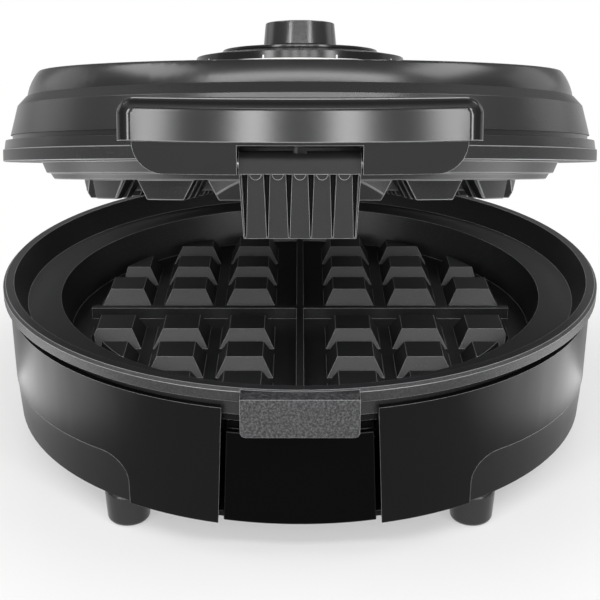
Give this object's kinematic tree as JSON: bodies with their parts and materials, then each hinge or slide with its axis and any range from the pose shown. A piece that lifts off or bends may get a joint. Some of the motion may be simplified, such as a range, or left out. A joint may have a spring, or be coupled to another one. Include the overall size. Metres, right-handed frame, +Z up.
{
  "type": "belgian waffle maker",
  "caption": "Round countertop waffle maker with a hinged lid, deep grid plates, a dial knob, a front handle and a sprung latch.",
  "frame": {"origin": "on the table under the middle of the whole's outline, with the lid part open", "axes": "+X to the right seen from the front, +Y to the hinge at the back, +Z up"},
  "size_m": [0.25, 0.2834, 0.1755],
  "materials": {
    "cast_grey": "dark non-stick coating on cast aluminium",
    "shell_black": "black moulded heat-resistant plastic",
    "cover_black": "black textured plastic",
    "handle_black": "black satin plastic",
    "latch_charcoal": "charcoal moulded plastic with a fine grain",
    "steel": "plain steel",
    "dome_black": "glossy black plastic",
    "dial_black": "glossy black trim ring with pale printed marks",
    "rubber": "black rubber",
    "heater_steel": "heater sheath steel",
    "reflector_aluminium": "bright sheet aluminium",
    "white_ceramic": "white terminal block"
  },
  "bodies": {
    "base": {"lower_grid_plate": "cast_grey", "upper_shell": "shell_black", "front_panel": "cover_black", "bottom_cover": "cover_black", "hinge_pin": "steel", "cord_bush": "rubber", "lower_heater": "heater_steel", "lower_heater_clamps": "steel", "lower_reflector": "reflector_aluminium", "terminal_block": "white_ceramic", "thermal_fuse": "white_ceramic", "foot_front_right": "rubber", "foot_front_left": "rubber", "foot_rear_right": "rubber", "foot_rear_left": "rubber"},
    "lid": {"upper_grid_plate": "cast_grey", "lid_housing": "shell_black", "top_cover": "dome_black", "dial_ring": "dial_black", "dial_bezel": "dome_black", "thermostat": "steel", "thermostat_strap": "steel", "upper_heater": "heater_steel", "upper_heater_clamps": "steel", "handle_top": "handle_black", "handle_bottom": "handle_black", "latch_pin": "steel", "latch_spring": "steel"},
    "latch": {"latch": "latch_charcoal"},
    "knob": {"control_knob": "dome_black", "thermostat_shaft": "steel"}
  },
  "joints": [
    {"name": "lid_hinge", "type": "hinge", "parent": "base", "child": "lid", "pos_m": [0, 0.12875, 0.06], "axis": [-1, 0, 0], "range_deg": [-16.8, 83.2]},
    {"name": "latch_pivot", "type": "hinge", "parent": "lid", "child": "latch", "pos_m": [0, -0.13306, 0.14949], "axis": [-1, 0, 0], "range_deg": [0, 25], "stiffness_Nm_per_rad": 0.05},
    {"name": "knob_turn", "type": "hinge", "parent": "lid", "child": "knob", "pos_m": [0, 0.01178, 0.15695], "axis": [0, 0.289, 0.9573], "range_deg": [-140, 140]}
  ]
}
